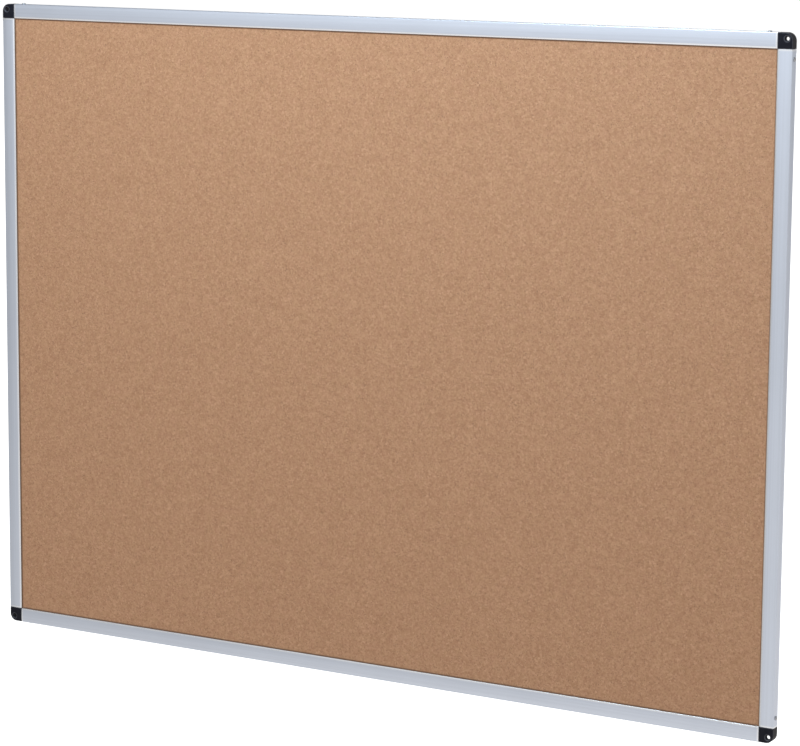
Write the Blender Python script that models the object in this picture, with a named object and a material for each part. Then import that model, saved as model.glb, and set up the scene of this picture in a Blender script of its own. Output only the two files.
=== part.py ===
"""Framed cork bulletin board, in metres, +Z up.

The board hangs on a wall in the plane y = 0, with its front towards -Y and its
centre at x = z = 0. Four hollow aluminium rails hold a laminated panel in their
grooves. A moulded cap closes each corner: its two tongues slide into the hollow
rails, and a small screw through the rail's outer wall holds each tongue.
"""

import math

import bmesh
import bpy
from mathutils import Vector

# Overall sizes
BOARD_WIDTH = 1.200
BOARD_HEIGHT = 0.900
FRAME_DEPTH = 0.013

# Aluminium rail: its face, its hollow chamber, its lip with a hook behind it, and its back flange
RAIL_FACE = 0.020
CHAMBER_WIDTH = 0.012
RAIL_WALL = 0.0011
BACK_FLANGE = 0.004
FACE_CROWN = 0.00025
OUTER_RADIUS = 0.0008
BEAD_WIDTH = 0.0018
BEAD_DROP = 0.0005
HOOK_OFFSET = 0.0025
HOOK_WIDTH = 0.0012

# Laminated panel: the core fills what the other two layers leave
CORK_RECESS = 0.0024
CORK_THICKNESS = 0.0020
BACKING_THICKNESS = 0.0006

# Moulded corner cap
CAP_RADIUS = 0.0105
CAP_WALL = 0.0016
CAP_PLATE = 0.0018
CAP_BEVEL = 0.0004
TONGUE_LENGTH = 0.032
TONGUE_WALL = 0.0016
TONGUE_TAPER_LENGTH = 0.002
TONGUE_TAPER = 0.0005
SCREW_BLOCK = 0.007

# Wall-screw hole through each cap
HOLE_INSET = 0.0075
HOLE_DIAMETER = 0.0050
COUNTERSINK_DIAMETER = 0.0080
TUNNEL_LENGTH = 0.0050
BOSS_DIAMETER = 0.0090

# Self-tapping screw that fixes a tongue in its rail
SCREW_FROM_END = 0.0125
SCREW_LENGTH = 0.0080
SHANK_DIAMETER = 0.0026
POINT_LENGTH = 0.0015
POINT_DIAMETER = 0.0006
HEAD_DIAMETER = 0.0055
HEAD_HEIGHT = 0.0012
RECESS_SPAN = 0.0028
RECESS_WIDTH = 0.0008
RECESS_DEPTH = 0.0007

# Clearances
SEAM = 0.0003
TONGUE_FIT = 0.0003
PANEL_GAP = 0.0005
LAYER_GAP = 0.0003
SCREW_FIT = 0.0003

# Facets
ARC_STEPS = 8
FACE_STEPS = 6
ROUND_STEPS = 24
CUT_MARGIN = 0.001

# Sizes that follow from the ones above
CAP_SIZE = RAIL_FACE
FACE_EDGE = FRAME_DEPTH - FACE_CROWN
CHAMBER_FRONT = FACE_EDGE - RAIL_WALL
HOOK_START = CHAMBER_WIDTH + HOOK_OFFSET
HOOK_END = HOOK_START + HOOK_WIDTH
HOOK_BACK = FRAME_DEPTH - CORK_RECESS + LAYER_GAP
TUNNEL_BACK = FRAME_DEPTH - TUNNEL_LENGTH

# side: turn about Y from the top rail, then the names of its two ends
SIDES = {
    "top": (0, "left", "right"),
    "right": (90, "top", "bottom"),
    "bottom": (180, "right", "left"),
    "left": (270, "bottom", "top"),
}
# corner: turn about Y from the top right corner
CORNERS = {
    "top_right": 0,
    "bottom_right": 90,
    "bottom_left": 180,
    "top_left": 270,
}


def clear_scene():
    """Remove every object that the file starts with."""
    for old in list(bpy.data.objects):
        bpy.data.objects.remove(old, do_unlink=True)


def make_material(name, colour, metallic, roughness):
    """Return a plain Principled material."""
    material = bpy.data.materials.new(name)
    material.use_nodes = True
    shader = material.node_tree.nodes["Principled BSDF"]
    shader.inputs["Base Color"].default_value = (*colour, 1.0)
    shader.inputs["Metallic"].default_value = metallic
    shader.inputs["Roughness"].default_value = roughness
    return material


def add_object(name, shape, material=None, parent=None):
    """Turn a bmesh into a named object with its normals facing out."""
    bmesh.ops.recalc_face_normals(shape, faces=shape.faces)
    mesh = bpy.data.meshes.new(name)
    shape.to_mesh(mesh)
    shape.free()
    if material:
        mesh.materials.append(material)
    body = bpy.data.objects.new(name, mesh)
    body.parent = parent
    bpy.context.scene.collection.objects.link(body)
    return body


def loft(sections):
    """Return a closed bmesh through loops of points, each with the same count."""
    shape = bmesh.new()
    rings = [[shape.verts.new(place) for place in loop] for loop in sections]
    count = len(rings[0])
    for near, far in zip(rings, rings[1:]):
        for i in range(count):
            j = (i + 1) % count
            shape.faces.new((near[i], near[j], far[j], far[i]))
    shape.faces.new(rings[0])
    shape.faces.new(rings[-1])
    return shape


def box(low, high):
    """Return a closed box between two opposite corners."""
    loops = []
    for z in (low[2], high[2]):
        corners = ((low[0], low[1]), (high[0], low[1]), (high[0], high[1]), (low[0], high[1]))
        loops.append([Vector((x, y, z)) for x, y in corners])
    return loft(loops)


def round_bar(centre, axis, stations):
    """Return a turned solid whose stations are (distance along axis, radius) pairs."""
    axis = Vector(axis)
    across = axis.orthogonal().normalized()
    other = axis.cross(across)
    loops = []
    for distance, radius in stations:
        loop = []
        for i in range(ROUND_STEPS):
            angle = 2 * math.pi * i / ROUND_STEPS
            spoke = across * math.cos(angle) + other * math.sin(angle)
            loop.append(Vector(centre) + axis * distance + spoke * radius)
        loops.append(loop)
    return loft(loops)


def combine(body, tool_shape, operation):
    """Cut a solid from a body, or join it to the body, and discard the tool."""
    tool = add_object("tool", tool_shape)
    change = body.modifiers.new(operation.lower(), "BOOLEAN")
    change.operation = operation
    change.solver = "EXACT"
    change.object = tool
    finished = body.evaluated_get(bpy.context.evaluated_depsgraph_get())
    mesh = bpy.data.meshes.new_from_object(finished)
    mesh.name = body.name
    body.modifiers.remove(change)
    body.data = mesh
    bpy.data.objects.remove(tool, do_unlink=True)


def smooth_rounds(mesh):
    """Shade round stretches smooth and keep real edges sharp."""
    mesh.shade_smooth()
    mesh.set_sharp_from_angle(angle=math.radians(30))


def arc(centre, radius, start, end):
    """Return points along a circular arc, in degrees, ends included."""
    points = []
    for i in range(ARC_STEPS + 1):
        angle = math.radians(start + (end - start) * i / ARC_STEPS)
        points.append((centre[0] + radius * math.cos(angle), centre[1] + radius * math.sin(angle)))
    return points


def face_line():
    """Return the crowned front face, from the outer edge to the bead."""
    start = OUTER_RADIUS
    end = RAIL_FACE - BEAD_WIDTH
    points = []
    for i in range(1, FACE_STEPS + 1):
        t = i / FACE_STEPS
        rise = 1 - (2 * t - 1) ** 2
        points.append((start + (end - start) * t, FACE_EDGE + FACE_CROWN * rise))
    return points


def rail_outline():
    """Return a rail's section as (distance in from the outer face, distance from the wall)."""
    rounding = arc((OUTER_RADIUS, FACE_EDGE - OUTER_RADIUS), OUTER_RADIUS, 180, 90)
    flange_end = CHAMBER_WIDTH + BACK_FLANGE
    lip = [
        (RAIL_FACE, FACE_EDGE - BEAD_DROP),
        (RAIL_FACE, CHAMBER_FRONT),
        (HOOK_END, CHAMBER_FRONT),
        (HOOK_END, HOOK_BACK),
        (HOOK_START, HOOK_BACK),
        (HOOK_START, CHAMBER_FRONT),
    ]
    groove = [
        (CHAMBER_WIDTH, CHAMBER_FRONT),
        (CHAMBER_WIDTH, RAIL_WALL),
        (flange_end, RAIL_WALL),
        (flange_end, 0.0),
        (0.0, 0.0),
    ]
    return rounding + face_line() + lip + groove


def screw_places(length):
    """Return where the two screws sit along a rail of this length."""
    reach = length / 2 - SCREW_FROM_END
    return (-reach, reach)


def make_rail(side, length, material, board):
    """Extrude one rail, hollow it and drill its outer wall for the two screws."""
    outline = rail_outline()
    ends = []
    for x in (-length / 2, length / 2):
        ends.append([Vector((x, -depth, -inward)) for inward, depth in outline])
    rail = add_object(side + "_rail", loft(ends), material, board)
    reach = length / 2 + CUT_MARGIN
    low = (-reach, -CHAMBER_FRONT, RAIL_WALL - CHAMBER_WIDTH)
    high = (reach, -RAIL_WALL, -RAIL_WALL)
    combine(rail, box(low, high), "DIFFERENCE")
    radius = SHANK_DIAMETER / 2 + SCREW_FIT
    drill = ((-RAIL_WALL - CUT_MARGIN, radius), (CUT_MARGIN, radius))
    for x in screw_places(length):
        combine(rail, round_bar((x, -FRAME_DEPTH / 2, 0), (0, 0, 1), drill), "DIFFERENCE")
    smooth_rounds(rail.data)
    return rail


def cap_point(across, up, depth):
    """Place a point of the top right cap from its distances in from the two outer faces."""
    return Vector((-across, -depth, -up))


def cap_outline(inset):
    """Return the square front of a cap with its rounded outer corner, moved inwards."""
    near = inset
    far = CAP_SIZE - inset
    corner = arc((CAP_RADIUS, CAP_RADIUS), CAP_RADIUS - inset, 180, 270)
    return corner + [(far, near), (far, far), (near, far)]


def pocket_outline():
    """Return the L-shaped hollow inside a cap's walls."""
    near = CAP_WALL
    far = CAP_SIZE - CAP_WALL
    bend = CHAMBER_WIDTH - CAP_WALL
    corner = arc((CAP_RADIUS, CAP_RADIUS), CAP_RADIUS - CAP_WALL, 180, 270)
    return corner + [(far, near), (far, bend), (bend, bend), (bend, far), (near, far)]


def cap_prism(outline, back, front):
    """Return a prism of a cap outline between two depths."""
    loops = []
    for depth in (back, front):
        loops.append([cap_point(a, b, depth) for a, b in outline])
    return loft(loops)


def make_tongue():
    """Return the solid bar that slides into the rail along X, with a tapered tip."""
    low = RAIL_WALL + TONGUE_FIT
    high = CHAMBER_WIDTH - RAIL_WALL - TONGUE_FIT
    front = CHAMBER_FRONT - TONGUE_FIT
    tip = CAP_SIZE + TONGUE_LENGTH
    stations = (
        (CAP_SIZE - CAP_WALL / 2, 0.0),
        (tip - TONGUE_TAPER_LENGTH, 0.0),
        (tip, TONGUE_TAPER),
    )
    loops = []
    for along, inset in stations:
        near = low + inset
        far = high - inset
        top = front - inset
        corners = ((near, near), (far, near), (far, top), (near, top))
        loops.append([(along, across, depth) for across, depth in corners])
    return loops


def tongue_hollows():
    """Return the two hollows in a tongue, before and behind its screw block."""
    near = RAIL_WALL + TONGUE_FIT + TONGUE_WALL
    far = CHAMBER_WIDTH - RAIL_WALL - TONGUE_FIT - TONGUE_WALL
    floor = CHAMBER_FRONT - TONGUE_FIT - TONGUE_WALL
    screw = CAP_SIZE + SEAM + SCREW_FROM_END
    tip = CAP_SIZE + TONGUE_LENGTH - TONGUE_TAPER_LENGTH
    spans = (
        (CAP_SIZE + CAP_WALL, screw - SCREW_BLOCK / 2),
        (screw + SCREW_BLOCK / 2, tip),
    )
    return [((start, near, -CUT_MARGIN), (end, far, floor)) for start, end in spans]


def add_tongue(cap, place):
    """Join one tongue to a cap, hollow it from behind and drill it for its screw."""
    bar = [[place(*point) for point in loop] for loop in make_tongue()]
    combine(cap, loft(bar), "UNION")
    for low, high in tongue_hollows():
        combine(cap, box(place(*low), place(*high)), "DIFFERENCE")
    centre = place(CAP_SIZE + SEAM + SCREW_FROM_END, 0.0, FRAME_DEPTH / 2)
    inwards = place(0.0, 1.0, 0.0)
    radius = SHANK_DIAMETER / 2 + SCREW_FIT
    drill = ((0.0, radius), (SCREW_LENGTH + SCREW_FIT, radius))
    combine(cap, round_bar(centre, inwards, drill), "DIFFERENCE")


def make_cap_mesh(material, board):
    """Model the top right cap, which the other three corners share."""
    half_bevel = FRAME_DEPTH - CAP_BEVEL
    loops = []
    for depth, inset in ((0.0, 0.0), (half_bevel, 0.0), (FRAME_DEPTH, CAP_BEVEL)):
        loops.append([cap_point(a, b, depth) for a, b in cap_outline(inset)])
    cap = add_object("corner_cap", loft(loops), material, board)

    plate_back = FRAME_DEPTH - CAP_PLATE
    combine(cap, cap_prism(pocket_outline(), -CUT_MARGIN, plate_back), "DIFFERENCE")
    hole = cap_point(HOLE_INSET, HOLE_INSET, 0.0)
    forwards = (0, -1, 0)
    boss = ((TUNNEL_BACK, BOSS_DIAMETER / 2), (FRAME_DEPTH - CAP_PLATE / 2, BOSS_DIAMETER / 2))
    combine(cap, round_bar(hole, forwards, boss), "UNION")
    reach = CAP_SIZE + CUT_MARGIN
    notch = box(cap_point(CHAMBER_WIDTH, CHAMBER_WIDTH, -CUT_MARGIN), cap_point(reach, reach, plate_back))
    combine(cap, notch, "DIFFERENCE")

    add_tongue(cap, cap_point)
    add_tongue(cap, lambda along, across, depth: cap_point(across, along, depth))

    radius = HOLE_DIAMETER / 2
    wide = COUNTERSINK_DIAMETER / 2
    sink = (
        (0.0, radius),
        (FRAME_DEPTH - (wide - radius), radius),
        (FRAME_DEPTH + CUT_MARGIN, wide + CUT_MARGIN),
    )
    combine(cap, round_bar(hole, forwards, sink), "DIFFERENCE")
    smooth_rounds(cap.data)
    mesh = cap.data
    bpy.data.objects.remove(cap, do_unlink=True)
    return mesh


def make_caps(material, board):
    """Place a cap at each corner."""
    mesh = make_cap_mesh(material, board)
    for corner, turn in CORNERS.items():
        cap = bpy.data.objects.new("corner_cap_" + corner, mesh)
        cap.parent = board
        across = BOARD_WIDTH / 2 if "right" in corner else -BOARD_WIDTH / 2
        up = BOARD_HEIGHT / 2 if "top" in corner else -BOARD_HEIGHT / 2
        cap.location = (across, 0, up)
        cap.rotation_euler = (0, math.radians(turn), 0)
        bpy.context.scene.collection.objects.link(cap)


def make_screw_mesh(material, board):
    """Turn a pan-head screw about Z, head up, and cut its cross recess."""
    shank = SHANK_DIAMETER / 2
    head = HEAD_DIAMETER / 2
    seat = SCREW_FIT
    stations = (
        (-SCREW_LENGTH, POINT_DIAMETER / 2),
        (POINT_LENGTH - SCREW_LENGTH, shank),
        (seat, shank),
        (seat, head),
        (seat + HEAD_HEIGHT * 0.45, head),
        (seat + HEAD_HEIGHT * 0.80, head * 0.85),
        (seat + HEAD_HEIGHT, head * 0.55),
    )
    screw = add_object("rail_screw", round_bar((0, 0, 0), (0, 0, 1), stations), material, board)
    top = seat + HEAD_HEIGHT
    for span in ((RECESS_SPAN, RECESS_WIDTH), (RECESS_WIDTH, RECESS_SPAN)):
        low = (-span[0] / 2, -span[1] / 2, top - RECESS_DEPTH)
        high = (span[0] / 2, span[1] / 2, top + CUT_MARGIN)
        combine(screw, box(low, high), "DIFFERENCE")
    smooth_rounds(screw.data)
    mesh = screw.data
    bpy.data.objects.remove(screw, do_unlink=True)
    return mesh


def make_frame(metal, steel, board):
    """Place the four rails with their screws."""
    screw_mesh = make_screw_mesh(steel, board)
    for side, (turn, *ends) in SIDES.items():
        level = side in ("top", "bottom")
        span = BOARD_WIDTH if level else BOARD_HEIGHT
        offset = BOARD_HEIGHT / 2 if level else BOARD_WIDTH / 2
        length = span - 2 * (CAP_SIZE + SEAM)
        rail = make_rail(side, length, metal, board)
        angle = math.radians(turn)
        rail.location = (math.sin(angle) * offset, 0, math.cos(angle) * offset)
        rail.rotation_euler = (0, angle, 0)
        for end, x in zip(ends, screw_places(length)):
            screw = bpy.data.objects.new(f"{side}_rail_{end}_screw", screw_mesh)
            screw.parent = rail
            screw.location = (x, -FRAME_DEPTH / 2, 0)
            bpy.context.scene.collection.objects.link(screw)


def make_panel(cork, fibre, paper, board):
    """Stack the backing sheet, the core board and the cork sheet in the rails' grooves."""
    half_width = BOARD_WIDTH / 2 - CHAMBER_WIDTH - PANEL_GAP
    half_height = BOARD_HEIGHT / 2 - CHAMBER_WIDTH - PANEL_GAP
    backing_back = RAIL_WALL + LAYER_GAP
    backing_front = backing_back + BACKING_THICKNESS
    cork_front = FRAME_DEPTH - CORK_RECESS
    cork_back = cork_front - CORK_THICKNESS
    layers = (
        ("backing_sheet", paper, backing_back, backing_front),
        ("core_board", fibre, backing_front + LAYER_GAP, cork_back - LAYER_GAP),
        ("cork_sheet", cork, cork_back, cork_front),
    )
    for name, material, back, front in layers:
        middle = (back + front) / 2
        half = (front - back) / 2
        low = (-half_width, -half, -half_height)
        high = (half_width, half, half_height)
        layer = add_object(name, box(low, high), material, board)
        layer.location = (0, -middle, 0)


def main():
    clear_scene()
    board = bpy.data.objects.new("board", None)
    bpy.context.scene.collection.objects.link(board)
    metal = make_material("anodised_aluminium", (0.60, 0.63, 0.68), 1.0, 0.38)
    steel = make_material("zinc_steel", (0.45, 0.46, 0.48), 1.0, 0.35)
    plastic = make_material("black_plastic", (0.020, 0.019, 0.026), 0.0, 0.45)
    cork = make_material("cork", (0.47, 0.27, 0.16), 0.0, 0.90)
    fibre = make_material("soft_fibreboard", (0.42, 0.31, 0.20), 0.0, 0.95)
    paper = make_material("backing_paper", (0.55, 0.53, 0.49), 0.0, 0.85)
    make_frame(metal, steel, board)
    make_caps(plastic, board)
    make_panel(cork, fibre, paper, board)


main()
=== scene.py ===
"""Finished surfaces of a framed cork bulletin board.

The board hangs in the plane y = 0 and faces -Y. Each operator makes one piece, or one
group of like pieces, in place of the plain solids of the frame.
"""

import math

import bmesh
import bpy
from bpy.props import FloatProperty, FloatVectorProperty, IntProperty, PointerProperty
from mathutils import Matrix, Vector, noise


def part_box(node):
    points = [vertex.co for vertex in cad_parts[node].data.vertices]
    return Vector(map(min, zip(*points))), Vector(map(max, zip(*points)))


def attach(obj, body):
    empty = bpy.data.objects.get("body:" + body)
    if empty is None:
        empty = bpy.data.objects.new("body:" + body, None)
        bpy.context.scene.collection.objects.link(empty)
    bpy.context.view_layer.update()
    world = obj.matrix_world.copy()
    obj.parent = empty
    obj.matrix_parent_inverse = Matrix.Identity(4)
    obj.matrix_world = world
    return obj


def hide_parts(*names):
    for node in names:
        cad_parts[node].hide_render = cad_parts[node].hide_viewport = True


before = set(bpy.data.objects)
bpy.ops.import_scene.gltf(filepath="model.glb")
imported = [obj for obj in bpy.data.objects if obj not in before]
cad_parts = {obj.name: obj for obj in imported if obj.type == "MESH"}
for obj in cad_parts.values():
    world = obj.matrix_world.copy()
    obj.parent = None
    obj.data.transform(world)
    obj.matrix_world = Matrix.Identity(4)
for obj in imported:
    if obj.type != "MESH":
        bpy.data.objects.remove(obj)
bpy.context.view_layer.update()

bl_info = {
    "name": "Cork Bulletin Board",
    "version": (1, 0, 0),
    "blender": (4, 5, 0),
    "location": "3D Viewport > Sidebar > Board",
    "description": "Builds the finished pieces of a framed cork bulletin board",
    "category": "Object",
}

BODY = "root"
RAIL_LOW, RAIL_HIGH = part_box("top_rail")
CAP_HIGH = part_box("corner_cap_top_right")[1]
SCREW_LOW, SCREW_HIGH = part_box("top_rail_right_screw")
DEPTH = RAIL_HIGH.y - RAIL_LOW.y
RAIL_FACE = RAIL_HIGH.z - RAIL_LOW.z
HALF_WIDTH = CAP_HIGH.x
HALF_HEIGHT = CAP_HIGH.z

# how far a cutting tool reaches past the solid
PAST = 0.001
# hole in a rail for a screw, as a share of the screw's head
CLEARANCE_HOLE = 0.58
# hole in a tongue for a screw
PILOT_HOLE = 0.0032
PILOT_DEPTH = 0.0083
# length and taper of the end of a tongue
TONGUE_TIP = 0.002
TONGUE_TAPER = 0.0005
# cork: sideways shake as a share of a granule, and the rim that stays straight
JITTER = 0.42
RIM = 0.0005
# surround: (position, brightness) from above to below, and from left to right
GLOW_DOWNWARDS = (
    (0.20, 0.0), (0.36, 0.46), (0.48, 0.42), (0.56, 0.28),
    (0.67, 0.95), (0.76, 1.0), (0.84, 0.30), (0.92, 0.1),
)
GLOW_SIDEWAYS = (
    (0.15, 0.52), (0.22, 0.70), (0.30, 0.96), (0.34, 1.0),
    (0.43, 0.78), (0.60, 0.78), (0.80, 0.88),
)
BLACK = (0.0, 0.0, 0.0)
WHITE = (1.0, 1.0, 1.0)
BACKGROUND = 1.02
FLOOR_REACH = 20.0
FLOOR_THICKNESS = 0.02
# light: place, target and size
KEY_PLACE = ((0.05, -1.05, 1.72), (0.0, 0.0, 0.15), (1.1, 0.6))
SIDE_PLACE = ((-0.75, -2.0, 0.85), (0.0, 0.0, 0.1), (2.0, 1.2))

# turn about Y, from the top rail and from the top right cap
SIDES = {"top": 0, "right": 90, "bottom": 180, "left": 270}
CORNERS = {"top_right": 0, "bottom_right": 90, "bottom_left": 180, "top_left": 270}
SCREW_NODES = (
    "top_rail_left_screw", "top_rail_right_screw",
    "right_rail_top_screw", "right_rail_bottom_screw",
    "bottom_rail_right_screw", "bottom_rail_left_screw",
    "left_rail_bottom_screw", "left_rail_top_screw",
)


# -------- Sizes, colours and stage settings --------


def length(name, description, default):
    """Declare a length in metres."""
    kind = {"min": 0.0, "precision": 5, "subtype": "DISTANCE", "unit": "LENGTH"}
    return FloatProperty(name=name, description=description, default=default, **kind)


def colour(name, description, default):
    """Declare a linear colour."""
    kind = {"size": 3, "min": 0.0, "max": 1.0, "subtype": "COLOR"}
    return FloatVectorProperty(name=name, description=description, default=default, **kind)


def number(name, description, default, unit="NONE"):
    """Declare a plain number."""
    return FloatProperty(name=name, description=description, default=default, unit=unit)


class RailSizes(bpy.types.PropertyGroup):
    """Section of the aluminium rails."""

    chamber: length("Chamber", "Outer width of the hollow chamber", 0.012)
    wall: length("Wall", "Thickness of the extruded walls", 0.0011)
    flange: length("Back flange", "Reach of the back flange past the chamber", 0.004)
    crown: length("Crown", "Rise of the front face at its middle", 0.00025)
    edge: length("Edge radius", "Radius of the outer front edge", 0.0008)
    bead: length("Bead width", "Width of the sloping bead along the cork", 0.0018)
    bead_drop: length("Bead drop", "Fall of the bead towards the cork", 0.0005)
    hook_offset: length("Hook offset", "Distance of the hook past the chamber", 0.0025)
    hook: length("Hook width", "Width of the hook behind the lip", 0.0012)
    hook_gap: length("Hook gap", "Gap between the hook and the cork", 0.0003)
    deburr: length("Deburr", "Chamfer around the sawn ends", 0.00015)
    # length of the painted highlight at each sawn end
    end_highlight: length("Polished end", "Length of the bright sawn end", 0.003)
    metal: colour("Metal", "Colour of the anodised aluminium", (0.65, 0.71, 0.825))
    # bare metal colour, also the colour of the painted highlight on the lip and the sawn ends
    bright: colour("Bare metal", "Colour where the anodising is worn", (0.90, 0.92, 0.95))


class CapSizes(bpy.types.PropertyGroup):
    """Moulding of the corner caps."""

    radius: length("Corner radius", "Radius of the outer corner", 0.0105)
    wall: length("Wall", "Thickness of the side walls", 0.0016)
    plate: length("Front plate", "Thickness of the front", 0.0018)
    fillet: length("Edge fillet", "Radius of the outer front edges", 0.0010)
    seam: length("Seam fillet", "Radius of the edges along the rails", 0.0007)
    fit: length("Fit", "Clearance of a tongue in its rail", 0.0003)
    tongue: length("Tongue", "Length of a tongue", 0.032)
    tongue_wall: length("Tongue wall", "Thickness of a tongue's walls", 0.0016)
    block: length("Screw block", "Length of the solid block for the screw", 0.007)
    inset: length("Hole inset", "Distance of the hole from the outer faces", 0.0075)
    hole: length("Hole", "Diameter of the hole for a wall screw", 0.0050)
    sink: length("Countersink", "Diameter of the countersink", 0.0080)
    tunnel: length("Tunnel", "Depth of the hole and its boss", 0.0050)
    boss: length("Boss", "Diameter of the boss behind the hole", 0.0090)
    plastic: colour("Plastic", "Colour of the moulding", (0.0060, 0.0064, 0.0115))
    # colour of the painted highlight along the caps' front edges and countersink rim
    edge_highlight: colour("Rubbed plastic", "Colour of its worn edges", (0.085, 0.085, 0.100))


class ScrewSizes(bpy.types.PropertyGroup):
    """Pan-head screws that fix the caps in the rails."""

    head: length("Head", "Diameter of the head", 0.0055)
    head_height: length("Head height", "Height of the head", 0.0014)
    core: length("Core", "Core diameter of the thread", 0.0022)
    thread: length("Thread", "Outer diameter of the thread", 0.0029)
    pitch: length("Pitch", "Rise of the thread in one turn", 0.0011)
    shank: length("Shank", "Length under the head", 0.0080)
    recess: length("Recess", "Span of the cross recess", 0.0030)
    recess_width: length("Recess width", "Width of one arm of the recess", 0.0007)
    steel: colour("Steel", "Colour of the zinc plating", (0.52, 0.53, 0.56))


class PanelSizes(bpy.types.PropertyGroup):
    """Cork, core and backing."""

    granule: length("Granule", "Mean width of a fine cork granule", 0.0026)
    tile: length("Tile", "Mean width of a raised or sunk granule", 0.0051)
    relief: length("Relief", "Height between sunk and raised granules", 0.00012)
    seed: IntProperty(name="Seed", description="Seed of the granules", default=7)
    cork_dark: colour("Dark cork", "Darkest granules", (0.250, 0.109, 0.041))
    cork_red: colour("Red cork", "Warmer granules", (0.398, 0.184, 0.094))
    cork_sand: colour("Sandy cork", "Yellower granules", (0.390, 0.202, 0.089))
    cork_light: colour("Light cork", "Palest granules", (0.543, 0.299, 0.172))
    # bark colour, also the colour of the painted shade along the frame
    bark: colour("Bark", "Specks of bark between the granules", (0.105, 0.050, 0.024))
    fibre: colour("Fibreboard", "Colour of the core", (0.40, 0.29, 0.18))
    paper: colour("Paper", "Colour of the backing", (0.50, 0.44, 0.36))


class StageSettings(bpy.types.PropertyGroup):
    """Camera, lights and floor."""

    eye: FloatVectorProperty(
        name="Eye",
        description="Place of the camera, from the board's front",
        default=(1.941, -3.355, 0.648),
        subtype="XYZ",
        unit="LENGTH",
    )
    aim: FloatVectorProperty(
        name="Aim",
        description="Pitch, roll and heading of the camera",
        default=(math.radians(-8.84), math.radians(0.45), math.radians(29.38)),
        subtype="EULER",
        unit="ROTATION",
    )
    lens: number("Lens", "Focal length in millimetres", 131.5, "CAMERA")
    rise: number("Shift", "Vertical shift of the lens, in sensor widths", -0.066)
    ambient: number("Ambient", "Strength of the surround", 1.31)
    lower: colour("Lower surround", "Surround where it is brightest", (1.0, 0.95, 0.89))
    upper: colour("Upper surround", "Surround where it is dimmest", (0.33, 0.335, 0.345))
    key: number("Key light", "Power of the large light over the board", 42.0, "POWER")
    key_tint: colour("Key tint", "Colour of the large light", (0.74, 0.90, 1.0))
    side: number("Side light", "Power of the light that the rails reflect", 5.0, "POWER")
    side_tint: colour("Side tint", "Colour of the side light", (0.95, 0.98, 1.0))
    floor_gap: length("Floor gap", "Distance of the floor under the board", 0.45)
    floor: colour("Floor", "Colour of the floor", (0.99, 0.99, 0.99))


# -------- Node trees --------


def maths(operation, swapped=False):
    """Return a method that adds one Math node."""

    def method(self, other=0.0):
        first, second = (other, self) if swapped else (self, other)
        inputs = {0: first, 1: second}
        node = self.tree.node("ShaderNodeMath", inputs, operation=operation)
        return Number(self.tree, node.outputs[0])

    return method


class Number:
    """A number that varies over a surface or a mesh. Arithmetic on it adds Math nodes."""

    def __init__(self, tree, socket):
        self.tree = tree
        self.socket = socket

    __add__ = maths("ADD")
    __radd__ = maths("ADD", True)
    __sub__ = maths("SUBTRACT")
    __rsub__ = maths("SUBTRACT", True)
    __mul__ = maths("MULTIPLY")
    __rmul__ = maths("MULTIPLY", True)
    __lt__ = maths("LESS_THAN")
    __abs__ = maths("ABSOLUTE")
    least = maths("MINIMUM")
    most = maths("MAXIMUM")
    root = maths("SQRT")


def set_stops(elements, stops):
    """Set the stops of a colour ramp from (position, grey) pairs."""
    while len(elements) < len(stops):
        elements.new(1.0)
    for element, (position, grey) in zip(elements, stops):
        element.position = position
        element.color = (grey, grey, grey, 1.0)


class Tree:
    """Adds nodes to a shader tree or a Geometry Nodes tree."""

    def __init__(self, group):
        self.group = group

    def node(self, kind, inputs=None, stops=(), **settings):
        """Add a node: its settings come first, then the values or links of its sockets."""
        made = self.group.nodes.new(kind)
        for name, value in settings.items():
            setattr(made, name, value)
        if stops:
            set_stops(made.color_ramp.elements, stops)
        for key, value in (inputs or {}).items():
            self.feed(made.inputs[key], value)
        return made

    def feed(self, socket, value):
        """Link a socket, or set its value."""
        if isinstance(value, Number):
            value = value.socket
        if isinstance(value, bpy.types.NodeSocket):
            self.group.links.new(value, socket)
        elif socket.type == "RGBA" and len(value) == 3:
            socket.default_value = (*value, 1.0)
        else:
            socket.default_value = value

    def split(self, vector):
        """Return the three parts of a vector as numbers."""
        node = self.node("ShaderNodeSeparateXYZ", {0: vector})
        return [Number(self, socket) for socket in node.outputs]

    def ramp(self, value, stops):
        """Return a number remapped through (position, grey) stops."""
        node = self.node("ShaderNodeValToRGB", {"Fac": value}, stops)
        return Number(self, node.outputs["Color"])

    def mix(self, factor, first, second):
        """Return a mix of two colours."""
        inputs = {0: factor, 6: first, 7: second}
        return self.node("ShaderNodeMix", inputs, data_type="RGBA").outputs[2]


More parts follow.
